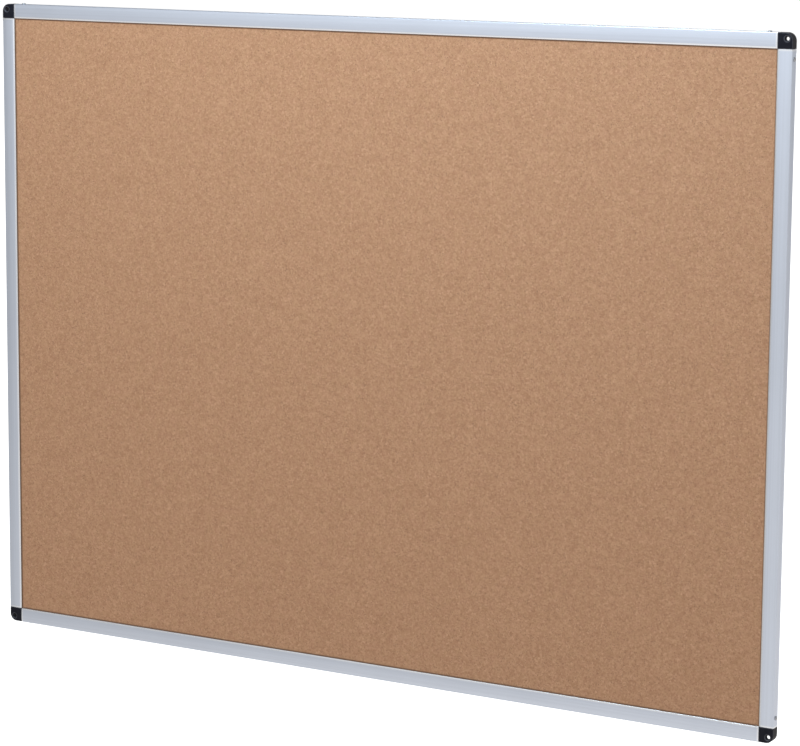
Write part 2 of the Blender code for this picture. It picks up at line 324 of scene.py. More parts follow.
class Finish(Tree):
    """A node material around one Principled shader."""

    def __init__(self, name, **constants):
        self.material = bpy.data.materials.new(name)
        self.material.use_nodes = True
        super().__init__(self.material.node_tree)
        self.shader = self.group.nodes["Principled BSDF"]
        for socket, value in constants.items():
            self.shader.inputs[socket.replace("_", " ")].default_value = value
        self.place = self.node("ShaderNodeTexCoord").outputs["Object"]

    def mapped(self, scale):
        """Return the object coordinates, stretched by a factor on each axis."""
        inputs = {"Vector": self.place, "Scale": scale}
        return self.node("ShaderNodeMapping", inputs).outputs["Vector"]

    def noise(self, scale, detail, rough, stretch=None):
        """Return fractal noise from 0 to 1."""
        vector = self.mapped(stretch) if stretch else self.place
        inputs = {"Vector": vector, "Scale": scale, "Detail": detail, "Roughness": rough}
        return Number(self, self.node("ShaderNodeTexNoise", inputs).outputs["Fac"])

    def cells(self, vector, scale):
        """Return one random number for each cell of a Voronoi pattern."""
        cells = self.node("ShaderNodeTexVoronoi", {"Vector": vector, "Scale": scale})
        split = self.node("ShaderNodeSeparateColor", {"Color": cells.outputs["Color"]})
        return Number(self, split.outputs["Red"])

    def attribute(self, name):
        """Return a number that the mesh carries."""
        node = self.node("ShaderNodeAttribute", attribute_name=name)
        return Number(self, node.outputs["Fac"])

    def set(self, **inputs):
        """Feed sockets of the shader."""
        for name, value in inputs.items():
            self.feed(self.shader.inputs[name.replace("_", " ")], value)

    def bump(self, height, distance, strength=1.0):
        """Raise the surface by a height from 0 to 1, over a distance in metres."""
        inputs = {"Height": height, "Distance": distance, "Strength": strength}
        self.set(Normal=self.node("ShaderNodeBump", inputs).outputs["Normal"])


# -------- Materials --------


def aluminium(name, along, sizes):
    """Satin anodised aluminium with fine lines along the extrusion."""
    skin = Finish(name, Metallic=1.0)
    stretch = [1.0, 1.0, 1.0]
    stretch[along] = 0.004
    lines = skin.noise(2600.0, 2.0, 0.6, stretch)
    bands = skin.noise(420.0, 1.0, 0.5, stretch)
    cloud = skin.noise(9.0, 3.0, 0.55)
    grain = skin.noise(5200.0, 2.0, 0.7)
    # worn edges, and a painted highlight on the lip and the sawn ends: lighter and glossier
    wear = skin.attribute("wear")
    worn_and_highlit = skin.ramp(wear + (cloud - 0.5) * 0.5, [(0.25, 0.0), (1.0, 1.0)])
    shade = 0.90 + bands * 0.12 + (lines - 0.5) * 0.10 + (cloud - 0.5) * 0.08
    metal = skin.mix(shade, BLACK, sizes.metal)
    skin.set(
        Base_Color=skin.mix(worn_and_highlit * 0.75, metal, sizes.bright),
        Roughness=0.36 + (lines - 0.5) * 0.14 + (grain - 0.5) * 0.10 - worn_and_highlit * 0.08,
    )
    skin.bump(lines * 0.7 + grain * 0.3, 0.000012)
    return skin.material


def cap_edge_highlight(skin, sizes):
    """Return how near the front edges of a cap are, from 0 to 1, as the mask of a painted
    highlight.
    """
    x, y, z = skin.split(skin.place)
    across = HALF_WIDTH - abs(x)
    up = HALF_HEIGHT - abs(z)
    bend_across = (sizes.radius - across).most(0.0)
    bend_up = (sizes.radius - up).most(0.0)
    outer = sizes.radius - (bend_across * bend_across + bend_up * bend_up).root()
    seam = RAIL_FACE - across.most(up)
    from_hole = across - sizes.inset
    over_hole = up - sizes.inset
    hole = abs((from_hole * from_hole + over_hole * over_hole).root() - sizes.sink / 2)
    edge = outer.least(seam).least(hole)
    near = skin.ramp(edge * 500.0, [(0.15, 1.0), (0.55, 0.0)])
    front = skin.ramp((y * -1.0 - DEPTH) * 500.0 + 1.0, [(0.2, 0.0), (0.8, 1.0)])
    return near * front


def moulded_plastic(sizes):
    """Black plastic with a fine spark-eroded grain and a painted highlight along its edges."""
    skin = Finish("moulded_plastic", Specular_IOR_Level=0.13)
    grain = skin.noise(3800.0, 3.0, 0.65)
    coarse = skin.noise(900.0, 2.0, 0.5)
    cloud = skin.noise(120.0, 3.0, 0.6)
    # painted highlight along the front edges, the seams and the countersink rim, broken up by noise
    edge_highlight = skin.ramp(cap_edge_highlight(skin, sizes) * (0.45 + cloud), [(0.20, 0.0), (1.0, 1.0)])
    dust = skin.ramp(cloud, [(0.50, 0.0), (0.85, 0.06)])
    skin.set(
        Base_Color=skin.mix(dust + edge_highlight * 0.7, sizes.plastic, sizes.edge_highlight),
        Roughness=0.44 + (grain - 0.5) * 0.16 + (coarse - 0.5) * 0.10 - edge_highlight * 0.10,
    )
    skin.bump(grain * 0.6 + coarse * 0.4, 0.00003)
    return skin.material


def zinc_steel(sizes):
    """Bright zinc plating, dull in places."""
    skin = Finish("zinc_steel", Metallic=1.0)
    stain = skin.noise(700.0, 3.0, 0.6)
    grain = skin.noise(6000.0, 2.0, 0.6)
    dull = skin.ramp(stain, [(0.35, 0.0), (0.80, 1.0)])
    skin.set(
        Base_Color=skin.mix(dull * 0.5, sizes.steel, (0.30, 0.31, 0.33)),
        Roughness=0.24 + dull * 0.20 + (grain - 0.5) * 0.12,
    )
    skin.bump(grain, 0.00001)
    return skin.material


def granulated_cork(sizes):
    """Pressed cork granules with dark and pale specks, and painted shade along the frame."""
    skin = Finish("granulated_cork", Specular_IOR_Level=0.8)
    wobble = skin.node("ShaderNodeTexNoise", {"Vector": skin.place, "Scale": 850.0})
    shift = {0: 0.0016, 4: skin.place, 5: wobble.outputs["Color"]}
    bent = skin.node("ShaderNodeMix", shift, data_type="VECTOR").outputs[1]
    density = 1.0 / sizes.granule
    coarse = skin.cells(bent, density)
    fine = skin.cells(bent, density * 2.1)
    bark = skin.cells(bent, density * 2.6)
    pith = skin.cells(bent, density * 1.3)
    tile = skin.attribute("tone")
    dust = skin.noise(2200.0, 4.0, 0.7)
    smudge = skin.noise(330.0, 3.0, 0.6)
    drift = skin.noise(85.0, 2.0, 0.5)
    cloud = skin.noise(22.0, 3.0, 0.6)
    light = (coarse - 0.5) * 0.42 + (fine - 0.5) * 0.26 + (tile - 0.5) * 0.12 + 0.5
    light += (dust - 0.5) * 0.60 + (smudge - 0.5) * 0.75
    light += (drift - 0.5) * 0.25 + (cloud - 0.5) * 0.12
    hue = skin.ramp(smudge * 0.45 + drift * 0.55, [(0.38, 0.0), (0.62, 1.0)])
    middle = skin.mix(hue, sizes.cork_red, sizes.cork_sand)
    spread = skin.mix(light, sizes.cork_dark, sizes.cork_light)
    ground = skin.mix(0.38, spread, middle)
    # painted shade: the cork darkens towards the rails, in the bark colour
    x, _, z = skin.split(skin.place)
    inward = (HALF_WIDTH - RAIL_FACE - abs(x)).least(HALF_HEIGHT - RAIL_FACE - abs(z))
    reach = inward * 200.0 + (dust - 0.5) * 0.08
    frame_shade = skin.ramp(reach, [(0.0, 0.72), (0.24, 0.62), (0.48, 0.0)])
    dark = skin.ramp(bark + (dust - 0.5) * 0.10, [(0.0, 0.55), (0.05, 0.35), (0.08, 0.0)])
    pale = skin.ramp(pith + (dust - 0.5) * 0.06, [(0.93, 0.0), (0.97, 0.50)])
    specked = skin.mix(dark, ground, sizes.bark)
    skin.set(
        Base_Color=skin.mix(frame_shade, skin.mix(pale, specked, sizes.cork_light), sizes.bark),
        Roughness=0.72 - (dust - 0.5) * 0.12 + dark * 0.10,
    )
    skin.bump(coarse * 0.25 + fine * 0.2 + dust * 0.35 + smudge * 0.35 - dark * 0.4, 0.00016)
    return skin.material


def soft_fibreboard(sizes):
    """Pressed wood fibre, matted and rough."""
    skin = Finish("soft_fibreboard", Specular_IOR_Level=0.2)
    strands = skin.noise(700.0, 5.0, 0.7, (1.0, 6.0, 1.0))
    clumps = skin.noise(130.0, 4.0, 0.6)
    bits = skin.cells(skin.mapped((1.0, 3.0, 1.0)), 620.0)
    light = skin.ramp(strands * 0.5 + clumps * 0.3 + bits * 0.2, [(0.30, 0.0), (0.72, 1.0)])
    skin.set(
        Base_Color=skin.mix(light, (0.24, 0.165, 0.10), sizes.fibre),
        Roughness=0.93 - (strands - 0.5) * 0.10,
    )
    skin.bump(strands * 0.6 + bits * 0.4, 0.00035)
    return skin.material


def backing_paper(sizes):
    """Brown backing paper with fibres, flecks and a slight ripple."""
    skin = Finish("backing_paper", Specular_IOR_Level=0.3)
    fibres = skin.noise(1500.0, 5.0, 0.7, (1.0, 1.0, 0.22))
    across = skin.noise(1100.0, 4.0, 0.7, (0.22, 1.0, 1.0))
    cloud = skin.noise(34.0, 5.0, 0.62)
    flecks = skin.cells(skin.mapped((1.0, 1.0, 0.6)), 950.0)
    ripple = skin.noise(7.0, 2.0, 0.5, (1.0, 1.0, 0.35))
    light = (fibres - 0.5) * 0.8 + (across - 0.5) * 0.5 + (cloud - 0.5) * 0.9 + 0.5
    dark = skin.ramp(flecks, [(0.0, 0.45), (0.03, 0.30), (0.045, 0.0)])
    base = skin.mix(skin.ramp(light, [(0.1, 0.0), (0.9, 1.0)]), (0.36, 0.30, 0.23), sizes.paper)
    skin.set(
        Base_Color=skin.mix(dark, base, (0.20, 0.15, 0.10)),
        Roughness=0.82 + (cloud - 0.5) * 0.14 - (fibres - 0.5) * 0.08,
    )
    skin.bump(fibres * 0.04 + across * 0.03 + ripple * 0.93, 0.0016, 0.6)
    return skin.material


# -------- Mesh tools --------


def loft(sections):
    """Return a closed bmesh through loops of points, each with the same count."""
    shape = bmesh.new()
    rings = [[shape.verts.new(place) for place in loop] for loop in sections]
    count = len(rings[0])
    for near, far in zip(rings, rings[1:]):
        for i in range(count):
            j = (i + 1) % count
            shape.faces.new((near[i], near[j], far[j], far[i]))
    shape.faces.new(rings[0])
    shape.faces.new(rings[-1])
    bmesh.ops.recalc_face_normals(shape, faces=shape.faces)
    return shape


def box(low, high):
    """Return a closed box between two opposite corners."""
    loops = []
    for z in (low[2], high[2]):
        corners = ((low[0], low[1]), (high[0], low[1]), (high[0], high[1]), (low[0], high[1]))
        loops.append([(x, y, z) for x, y in corners])
    return loft(loops)


def round_bar(centre, axis, stations, steps=48):
    """Return a turned solid whose stations are (distance along axis, radius) pairs."""
    axis = Vector(axis)
    across = axis.orthogonal().normalized()
    other = axis.cross(across)
    loops = []
    for distance, radius in stations:
        loop = []
        for i in range(steps):
            angle = 2 * math.pi * i / steps
            spoke = across * math.cos(angle) + other * math.sin(angle)
            loop.append(Vector(centre) + axis * distance + spoke * radius)
        loops.append(loop)
    return loft(loops)


def linked(name, data):
    """Put data into the scene as an object."""
    made = bpy.data.objects.new(name, data)
    bpy.context.scene.collection.objects.link(made)
    return made


def as_object(name, shape):
    """Turn a bmesh into a linked object."""
    mesh = bpy.data.meshes.new(name)
    shape.to_mesh(mesh)
    shape.free()
    return linked(name, mesh)


def apply_modifiers(item):
    """Replace an object's mesh by what its modifiers make."""
    finished = item.evaluated_get(bpy.context.evaluated_depsgraph_get())
    mesh = bpy.data.meshes.new_from_object(finished)
    mesh.name = item.name
    item.modifiers.clear()
    item.data = mesh


def carve(item, tool_shape, operation="DIFFERENCE"):
    """Cut a solid from an object, or join it on, and discard the tool."""
    tool = as_object("tool", tool_shape)
    change = item.modifiers.new("carve", "BOOLEAN")
    change.operation = operation
    change.solver = "EXACT"
    change.object = tool
    apply_modifiers(item)
    bpy.data.objects.remove(tool, do_unlink=True)


def smooth(mesh, angle=19.0):
    """Shade round stretches smooth and keep real edges sharp."""
    mesh.shade_smooth()
    mesh.set_sharp_from_angle(angle=math.radians(angle))


def arc(centre, radius, start, end, steps=10):
    """Return points along a circular arc, in degrees, ends included."""
    points = []
    for i in range(steps + 1):
        angle = math.radians(start + (end - start) * i / steps)
        points.append((centre[0] + radius * math.cos(angle), centre[1] + radius * math.sin(angle)))
    return points


def rounded(points, radii, steps=6):
    """Round the corners of a closed outline, each by its own radius."""
    made = []
    count = len(points)
    for i, radius in enumerate(radii):
        here = Vector(points[i])
        before = Vector(points[i - 1]) - here
        after = Vector(points[(i + 1) % count]) - here
        if radius <= 0.0:
            made.append(tuple(here))
            continue
        reach = min(radius, before.length * 0.45, after.length * 0.45)
        start = here + before.normalized() * reach
        end = here + after.normalized() * reach
        for k in range(steps + 1):
            t = k / steps
            made.append(tuple(start * (1 - t) ** 2 + here * 2 * t * (1 - t) + end * t**2))
    return made


def shrunk(points, amount):
    """Move a closed outline, which runs clockwise, inwards by a small amount."""
    made = []
    for i, point in enumerate(points):
        here = Vector(point)
        before = here - Vector(points[i - 1])
        after = Vector(points[(i + 1) % len(points)]) - here
        along = (before.normalized() + after.normalized()).normalized()
        made.append(tuple(here + Vector((along.y, -along.x)) * amount))
    return made


def show(item, material, slot, *nodes):
    """Hand a finished piece to the frame, in place of its plain solids."""
    item.data.materials.clear()
    item.data.materials.append(material)
    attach(item, BODY)
    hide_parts(*nodes)


# -------- Rails --------


def rail_outline(sizes):
    """Return a rail's section, as (in from the outer face, out from the wall), and its bare edges
    and painted highlight.
    """
    face = DEPTH - sizes.crown
    inner = RAIL_FACE - sizes.bead
    outline = arc((sizes.edge, face - sizes.edge), sizes.edge, 180, 90, 8)
    # per point: slight edge wear on the outer round, and a painted highlight on the bead and the
    # lip
    wear = [0.15] * len(outline)
    steps = 18
    for i in range(1, steps + 1):
        t = i / steps
        rise = 1 - (2 * t - 1) ** 2
        outline.append((sizes.edge + (inner - sizes.edge) * t, face + sizes.crown * rise))
        wear.append(0.85 if i == steps else 0.0)
    under = face - sizes.wall
    hook_back = sizes.hook_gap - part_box("cork_sheet")[0].y
    flange = sizes.chamber + sizes.flange
    hook = sizes.chamber + sizes.hook_offset
    corners = [
        (RAIL_FACE, face - sizes.bead_drop),
        (RAIL_FACE, under),
        (hook + sizes.hook, under),
        (hook + sizes.hook, hook_back),
        (hook, hook_back),
        (hook, under),
        (sizes.chamber, under),
        (sizes.chamber, sizes.wall),
        (flange, sizes.wall),
        (flange, 0.0),
        (0.0, 0.0),
    ]
    radii = (0.0003, 0.0002) + (0.0002,) * 8 + (0.0003,)
    around = [outline[-1], *corners, outline[0]]
    closed = rounded(around, (0.0, *radii, 0.0))[1:-1]
    outline += closed
    # the lip's rounded tip gets the full painted highlight
    wear += [1.0] * 7 + [0.0] * (len(closed) - 7)
    return outline, wear


def make_rail(side, sizes):
    """Extrude one rail with chamfered ends, hollow it and drill it."""
    low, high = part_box(side + "_rail")
    half = max(high.x - low.x, high.z - low.z) / 2
    offset = HALF_HEIGHT if side in ("top", "bottom") else HALF_WIDTH
    outline, edge_wear_and_highlight = rail_outline(sizes)
    small = shrunk(outline, sizes.deburr)
    # sawn ends: bare metal on the chamfer, then a painted highlight that fades over the first
    # millimetres of the face
    ends = [
        (0.0, small, 1.0),
        (sizes.deburr, outline, 0.9),
        (sizes.end_highlight * 0.6, outline, 0.75),
        (sizes.end_highlight, outline, 0.0),
    ]
    stations = [(inset - half, loop, bright) for inset, loop, bright in ends]
    stations += [(half - inset, loop, bright) for inset, loop, bright in reversed(ends)]
    loops = []
    wear = []
    for x, loop, bright in stations:
        loops.append([(x, -depth, -inward) for inward, depth in loop])
        wear += [max(bright, value) for value in edge_wear_and_highlight]
    rail = as_object(side + "_rail_extrusion", loft(loops))
    layer = rail.data.attributes.new("wear", "FLOAT", "POINT")
    layer.data.foreach_set("value", wear)
    front = DEPTH - sizes.crown - sizes.wall
    inner = ((sizes.wall, sizes.wall), (sizes.chamber - sizes.wall, sizes.wall))
    inner += ((sizes.chamber - sizes.wall, front), (sizes.wall, front))
    bore = rounded(inner, (0.0003,) * 4)
    reach = half + PAST
    tube = [[(x, -depth, -inward) for inward, depth in bore] for x in (-reach, reach)]
    carve(rail, loft(tube))
    radius = (SCREW_HIGH.x - SCREW_LOW.x) * CLEARANCE_HOLE / 2
    drill = ((-sizes.wall * 2, radius), (PAST, radius))
    upright = Matrix.Rotation(math.radians(-SIDES[side]), 4, "Y")
    for node in SCREW_NODES:
        if node.startswith(side):
            low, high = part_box(node)
            middle = upright @ ((low + high) / 2)
            carve(rail, round_bar((middle.x, -DEPTH / 2, 0), (0, 0, 1), drill))
    smooth(rail.data)
    turn = Matrix.Rotation(math.radians(SIDES[side]), 4, "Y")
    rail.data.transform(turn @ Matrix.Translation((0, 0, offset)))
    return rail


class BOARD_OT_rails(bpy.types.Operator):
    """Make the four extruded rails"""

    bl_idname = "board.rails"
    bl_label = "Rails"

    def execute(self, context):
        sizes = context.scene.board_rails
        level = aluminium("anodised_level", 0, sizes)
        upright = aluminium("anodised_upright", 2, sizes)
        for side in SIDES:
            metal = level if side in ("top", "bottom") else upright
            show(make_rail(side, sizes), metal, "rail", side + "_rail")
        return {"FINISHED"}


# -------- Corner caps --------


def cap_point(across, up, depth):
    """Place a point of the top right cap from its distances in from the two outer faces."""
    return Vector((-across, -depth, -up))


def cap_loop(outline, depth):
    """Place an outline of the top right cap at a depth."""
    return [cap_point(across, up, depth) for across, up in outline]


def fillet_inset(radius, below):
    """Return how far a rounded edge is cut back at a depth below the front."""
    if below >= radius:
        return 0.0
    return radius - math.sqrt(below * (2 * radius - below))


def cap_outline(sizes, outer, seam):
    """Return the square of a cap with its outer edges and its seams moved inwards."""
    far = RAIL_FACE - seam
    corner = arc((sizes.radius, sizes.radius), sizes.radius - outer, 180, 270, 24)
    inner = rounded(((far, outer), (far, far), (outer, far)), (0.0, 0.0006, 0.0))
    return corner + inner


def cap_pocket(sizes, rail):
    """Return the L-shaped hollow inside a cap's walls."""
    near = sizes.wall
    far = RAIL_FACE - sizes.wall
    bend = rail.chamber - sizes.wall
    corner = arc((sizes.radius, sizes.radius), sizes.radius - sizes.wall, 180, 270, 20)
    square = ((far, near), (far, bend), (bend, bend), (bend, far), (near, far))
    return corner + rounded(square, (0.0003, 0.0003, 0.0, 0.0003, 0.0003), 3)


def cap_shell(sizes):
    """Return the outside of a cap, with rounded front edges."""
    depths = [0.0, sizes.seam]
    depths += [sizes.fillet * (1 - math.sin(math.radians(angle))) for angle in range(0, 91, 10)]
    loops = [cap_loop(cap_outline(sizes, 0.0, 0.0), 0.0)]
    for below in sorted(set(depths), reverse=True):
        outer = fillet_inset(sizes.fillet, below)
        seam = fillet_inset(sizes.seam, below)
        outline = cap_outline(sizes, outer, seam)
        loops.append(cap_loop(outline, DEPTH - below))
    return loft(loops)


def add_tongue(cap, sizes, rail, place):
    """Join one tongue to a cap, hollow it from behind and drill it for its screw."""
    low = rail.wall + sizes.fit
    high = rail.chamber - low
    front = DEPTH - rail.crown - low
    loops = []
    tip = sizes.tongue - TONGUE_TIP
    for along, inset in ((-sizes.wall / 2, 0.0), (tip, 0.0), (sizes.tongue, TONGUE_TAPER)):
        near = low + inset
        far = high - inset
        top = front - inset
        square = ((near, near), (far, near), (far, top), (near, top))
        corners = rounded(square, (0.0005,) * 4, 3)
        loops.append([place(RAIL_FACE + along, across, depth) for across, depth in corners])
    carve(cap, loft(loops), "UNION")
    screw = CAP_HIGH.x - (SCREW_LOW.x + SCREW_HIGH.x) / 2
    near = low + sizes.tongue_wall
    far = high - sizes.tongue_wall
    spans = (
        (RAIL_FACE + sizes.wall, screw - sizes.block / 2),
        (screw + sizes.block / 2, RAIL_FACE + tip),
    )
    for start, end in spans:
        hollow = box(place(start, near, -PAST), place(end, far, front - sizes.tongue_wall))
        carve(cap, hollow)
    drill = ((0.0, PILOT_HOLE / 2), (PILOT_DEPTH, PILOT_HOLE / 2))
    bit = round_bar(place(screw, 0.0, DEPTH / 2), place(0.0, 1.0, 0.0), drill, 32)
    carve(cap, bit)


def make_cap(sizes, rail):
    """Model the top right cap about its outer corner."""
    cap = as_object("cap", cap_shell(sizes))
    plate_back = DEPTH - sizes.plate
    pocket = cap_pocket(sizes, rail)
    carve(cap, loft([cap_loop(pocket, -PAST), cap_loop(pocket, plate_back)]))
    hole = cap_point(sizes.inset, sizes.inset, 0.0)
    forwards = (0, -1, 0)
    boss_back = DEPTH - sizes.tunnel
    boss = ((boss_back, sizes.boss / 2), (DEPTH - sizes.plate / 2, sizes.boss / 2))
    carve(cap, round_bar(hole, forwards, boss, 64), "UNION")
    reach = RAIL_FACE + PAST
    start = cap_point(rail.chamber, rail.chamber, -PAST)
    carve(cap, box(start, cap_point(reach, reach, plate_back)))
    add_tongue(cap, sizes, rail, cap_point)
    add_tongue(cap, sizes, rail, lambda along, across, depth: cap_point(across, along, depth))
    radius = sizes.hole / 2
    wide = sizes.sink / 2
    lip = 0.00018
    cone = DEPTH - (wide - radius)
    sink = (
        (0.0, radius),
        (cone - lip, radius),
        (cone, radius + lip * 0.35),
        (cone + lip, radius + lip),
        (DEPTH - lip, wide - lip),
        (DEPTH - lip * 0.4, wide - lip * 0.1),
        (DEPTH, wide + lip * 0.8),
        (DEPTH + PAST, wide + 0.004),
    )
    carve(cap, round_bar(hole, forwards, sink, 64))
    smooth(cap.data)
    mesh = cap.data
    bpy.data.objects.remove(cap, do_unlink=True)
    return mesh


class BOARD_OT_caps(bpy.types.Operator):
    """Make the four moulded corner caps"""

    bl_idname = "board.caps"
    bl_label = "Corner caps"

    def execute(self, context):
        sizes = context.scene.board_caps
        plastic = moulded_plastic(sizes)
        model = make_cap(sizes, context.scene.board_rails)
        for corner, turn in CORNERS.items():
            across = HALF_WIDTH if "right" in corner else -HALF_WIDTH
            up = HALF_HEIGHT if "top" in corner else -HALF_HEIGHT
            rotation = Matrix.Rotation(math.radians(turn), 4, "Y")
            mesh = model.copy()
            mesh.transform(Matrix.Translation((across, 0, up)) @ rotation)
            cap = linked("corner_cap_moulding_" + corner, mesh)
            show(cap, plastic, "corner_cap", "corner_cap_" + corner)
        return {"FINISHED"}


# -------- Geometry Nodes --------


class Rig(Tree):
    """A Geometry Nodes tree with named inputs."""

    def __init__(self, name):
        super().__init__(bpy.data.node_groups.new(name, "GeometryNodeTree"))
        self.start = self.node("NodeGroupInput")
        self.values = {}

    def input(self, name, kind, value=None):
        """Add a named input, remember the value it gets, and return its socket."""
        kind = "NodeSocket" + kind
        socket = self.group.interface.new_socket(name, in_out="INPUT", socket_type=kind)
        self.values[socket.identifier] = value
        return self.start.outputs[len(self.values) - 1]

    def number(self, name, kind, value):
        """Add a named input that arithmetic works on."""
        return Number(self, self.input(name, kind, value))

    def random(self, low, high, seed):
        """Return a random number for each vertex or face."""
        inputs = {"Min": low, "Max": high, "Seed": seed}
        node = self.node("FunctionNodeRandomValue", inputs, data_type="FLOAT")
        return Number(self, node.outputs[1])

    def vector(self, **parts):
        """Return a vector from numbers, with 0 for the parts left out."""
        inputs = {name.upper(): value for name, value in parts.items()}
        return self.node("ShaderNodeCombineXYZ", inputs).outputs[0]

    def change(self, kind, shape, **inputs):
        """Pass a shape through a node and return what comes out."""
        named = {name.replace("_", " "): value for name, value in inputs.items()}
        return self.node(kind, {0: shape, **named}).outputs[0]

    def finish(self, item, shape, material):
        """Realize the shape, give it its material, and make it the object's mesh."""
        self.group.interface.new_socket("Shape", in_out="OUTPUT", socket_type="NodeSocketGeometry")
        real = self.change("GeometryNodeRealizeInstances", shape)
        painted = self.change("GeometryNodeSetMaterial", real, Material=material)
        self.node("NodeGroupOutput", {0: painted})
        modifier = item.modifiers.new(self.group.name, "NODES")
        modifier.node_group = self.group
        for identifier, value in self.values.items():
            if value is not None:
                modifier[identifier] = value
        apply_modifiers(item)


# -------- Screws --------


def cross_outline(span, width, depth):
    """Return the outline of a cross recess at one depth."""
    a = span / 2
    b = width / 2
    plan = ((a, b), (b, b), (b, a), (-b, a), (-b, b), (-a, b))
    plan += tuple((-x, -y) for x, y in plan)
    return [(x, y, depth) for x, y in plan]


def make_screw(sizes):
    """Turn a pan-head screw about Z, head up, cut its thread and its cross recess."""
    seat = SCREW_HIGH.z - RAIL_HIGH.z - sizes.head_height
    steps = 28
    around = [2 * math.pi * i / steps for i in range(steps)]
    loops = []
    rows = 84
    plain = 0.0006
    point = 0.0022
    for row in range(rows + 1):
        z = -sizes.shank + (sizes.shank - plain) * row / rows
        taper = min(1.0, 0.12 + (z + sizes.shank) / point)
        loop = []
        for angle in around:
            phase = (z / sizes.pitch - angle / (2 * math.pi)) % 1.0
            crest = max(0.0, 1.0 - abs(phase - 0.5) / 0.26)
            radius = (sizes.core + (sizes.thread - sizes.core) * crest) / 2 * taper
            loop.append((radius * math.cos(angle), radius * math.sin(angle), z))
        loops.append(loop)
    head = sizes.head / 2
    tall = sizes.head_height
    rim = 0.0001
    stations = [(-plain / 2, sizes.core / 2), (seat, sizes.core / 2), (seat, head - rim)]
    stations += [(seat + rim, head)]
    for angle in range(0, 91, 10):
        t = math.radians(angle)
        lift = seat + rim + (tall - rim) * (0.25 + 0.75 * math.sin(t))
        stations.append((lift, head * (0.52 + 0.48 * math.cos(t))))
    for z, radius in stations:
        loops.append([(radius * math.cos(a), radius * math.sin(a), z) for a in around])
    screw = as_object("screw", loft(loops))
    top = seat + tall
    recess = (
        cross_outline(sizes.recess * 0.55, sizes.recess_width * 0.5, top - 0.0010),
        cross_outline(sizes.recess, sizes.recess_width, top),
        cross_outline(sizes.recess, sizes.recess_width, top + PAST),
    )
    carve(screw, loft(recess))
    smooth(screw.data, 30.0)
    return screw


class BOARD_OT_screws(bpy.types.Operator):
    """Put the eight small screws into the rails"""

    bl_idname = "board.screws"
    bl_label = "Screws"

    def execute(self, context):
        sizes = context.scene.board_screws
        places = []
        turns = []
        for i, node in enumerate(SCREW_NODES):
            side = node.split("_")[0]
            angle = math.radians(SIDES[side])
            low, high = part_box(node)
            middle = (low + high) / 2
            if side in ("top", "bottom"):
                middle.z = math.cos(angle) * HALF_HEIGHT
            else:
                middle.x = math.sin(angle) * HALF_WIDTH
            spin = Matrix.Rotation(0.7 * i, 3, "Z")
            places.append(middle)
            turns += (Matrix.Rotation(angle, 3, "Y") @ spin).to_euler()
        mesh = bpy.data.meshes.new("rail_screws")
        mesh.from_pydata(places, [], [])
        layer = mesh.attributes.new("turn", "FLOAT_VECTOR", "POINT")
        layer.data.foreach_set("vector", turns)
        screws = linked("rail_screws", mesh)
        model = make_screw(sizes)
        steel = zinc_steel(sizes)

        rig = Rig("screw_set")
        points = rig.input("Points", "Geometry")
        pattern = {"Object": rig.input("Screw", "Object", model)}
        metal = rig.input("Material", "Material", steel)
        source = rig.node("GeometryNodeObjectInfo", pattern)
        named = {"Name": "turn"}
        turned = rig.node("GeometryNodeInputNamedAttribute", named, data_type="FLOAT_VECTOR")
        rotation = rig.node("FunctionNodeEulerToRotation", {0: turned.outputs[0]})
        placed = {"Instance": source.outputs["Geometry"], "Rotation": rotation.outputs[0]}
        copies = rig.change("GeometryNodeInstanceOnPoints", points, **placed)
        rig.finish(screws, copies, metal)
        bpy.data.objects.remove(model, do_unlink=True)
        show(screws, steel, "screw", *SCREW_NODES)
        return {"FINISHED"}


# -------- Panel --------


def granule_rig(width, height, sizes, material, item, front):
    """Tile the cork's face with irregular granules, each a little proud or sunk."""
    rig = Rig("cork_granules")
    rig.input("Base", "Geometry")
    wide = rig.number("Width", "Float", width)
    high = rig.number("Height", "Float", height)
    columns = rig.input("Columns", "Int", round(width / sizes.tile))
    rows = rig.input("Rows", "Int", round(height / sizes.tile))
    jitter = rig.number("Jitter", "Float", sizes.tile * JITTER)
    relief = rig.number("Relief", "Float", sizes.relief)
    seed = rig.number("Seed", "Int", sizes.seed)
    depth = rig.number("Front", "Float", front)
    skin = rig.input("Material", "Material", material)

    size = {"Size X": wide, "Size Y": high, "Vertices X": columns, "Vertices Y": rows}
    grid = rig.node("GeometryNodeMeshGrid", size).outputs[0]
    x, y, _ = rig.split(rig.node("GeometryNodeInputPosition").outputs[0])
    inside = (abs(x) < wide * 0.5 - RIM) * (abs(y) < high * 0.5 - RIM)
    moves = [rig.random(-1.0, 1.0, seed + float(step)) * inside for step in range(3)]
    slide = rig.vector(x=moves[0] * jitter, y=moves[1] * jitter)
    shaken = rig.change("GeometryNodeSetPosition", grid, Offset=slide)
    triangles = rig.change("GeometryNodeTriangulate", shaken)
    cells = rig.change("GeometryNodeDualMesh", triangles, Keep_Boundaries=True)
    sunk = moves[2] * (relief * 0.5) - relief * 0.5
    rough = rig.change("GeometryNodeSetPosition", cells, Offset=rig.vector(z=sunk))
    tone = {"Geometry": rough, "Name": "tone", "Value": rig.random(0.0, 1.0, seed + 9.0)}
    toned = rig.node("GeometryNodeStoreNamedAttribute", tone, data_type="FLOAT", domain="FACE")
    stand = {"Translation": rig.vector(y=depth * -1.0), "Rotation": (math.pi / 2, 0.0, 0.0)}
    rig.finish(item, rig.change("GeometryNodeTransform", toned.outputs[0], **stand), skin)


